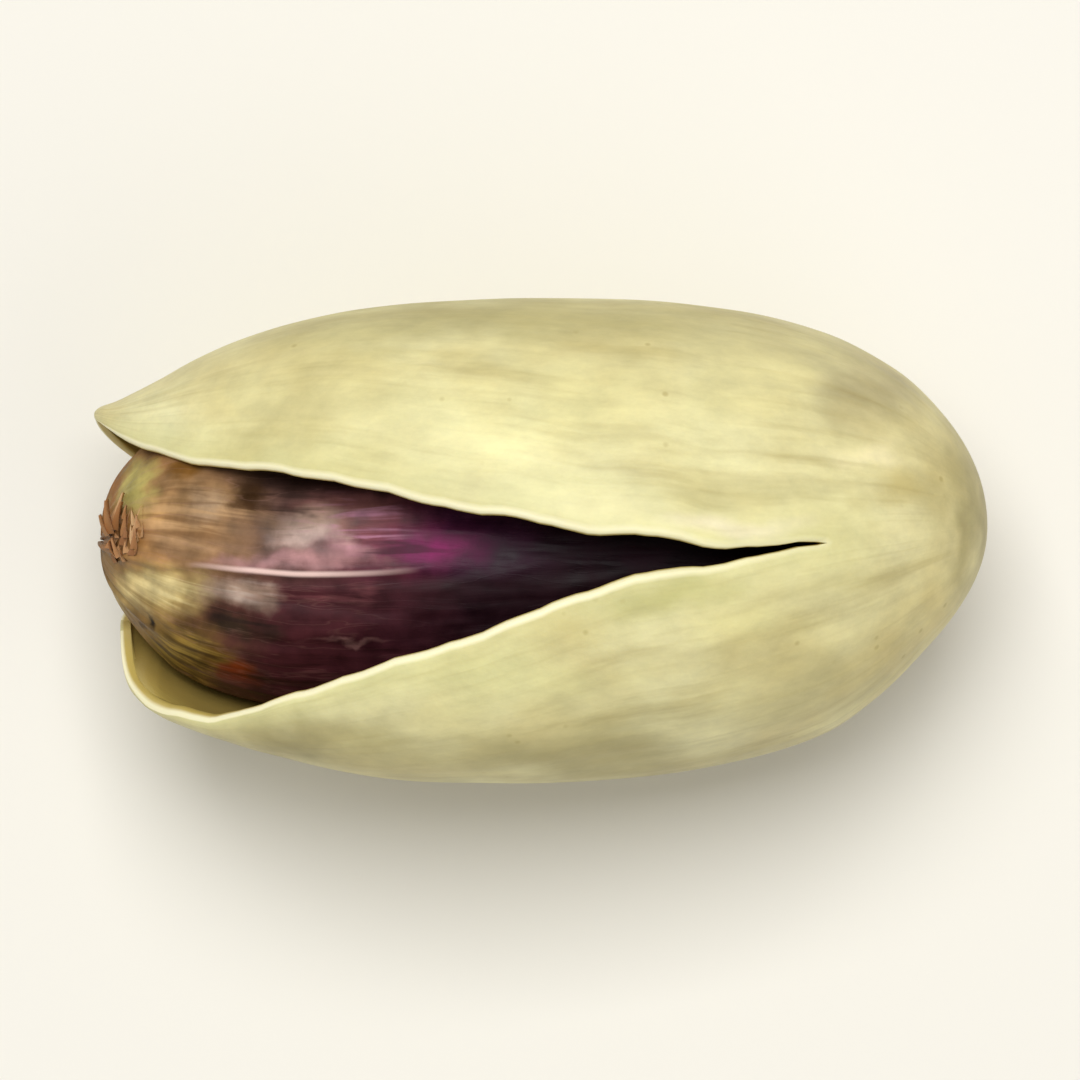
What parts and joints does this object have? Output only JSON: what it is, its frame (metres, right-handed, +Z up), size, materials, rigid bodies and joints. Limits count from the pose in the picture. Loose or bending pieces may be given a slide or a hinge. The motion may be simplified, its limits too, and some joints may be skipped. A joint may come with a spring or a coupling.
{
  "type": "pistachio in shell",
  "caption": "Pistachio nut lying on its back: a hard pale shell sprung open from the tip like a beak, with a loose purple-skinned kernel inside.",
  "frame": {"origin": "the middle of the bounding box's underside, where the nut rests on its back", "axes": "+X towards the stem end along the nut's length, +Y towards the valve that carries the pointed beak, +Z up out of the split"},
  "size_m": [0.0204, 0.0114, 0.0116],
  "materials": {
    "pistachio_shell": "satin",
    "pistachio_kernel_skin": "satin"
  },
  "bodies": {
    "root": {"shell": "pistachio_shell", "kernel": "pistachio_kernel_skin"}
  },
  "joints": []
}
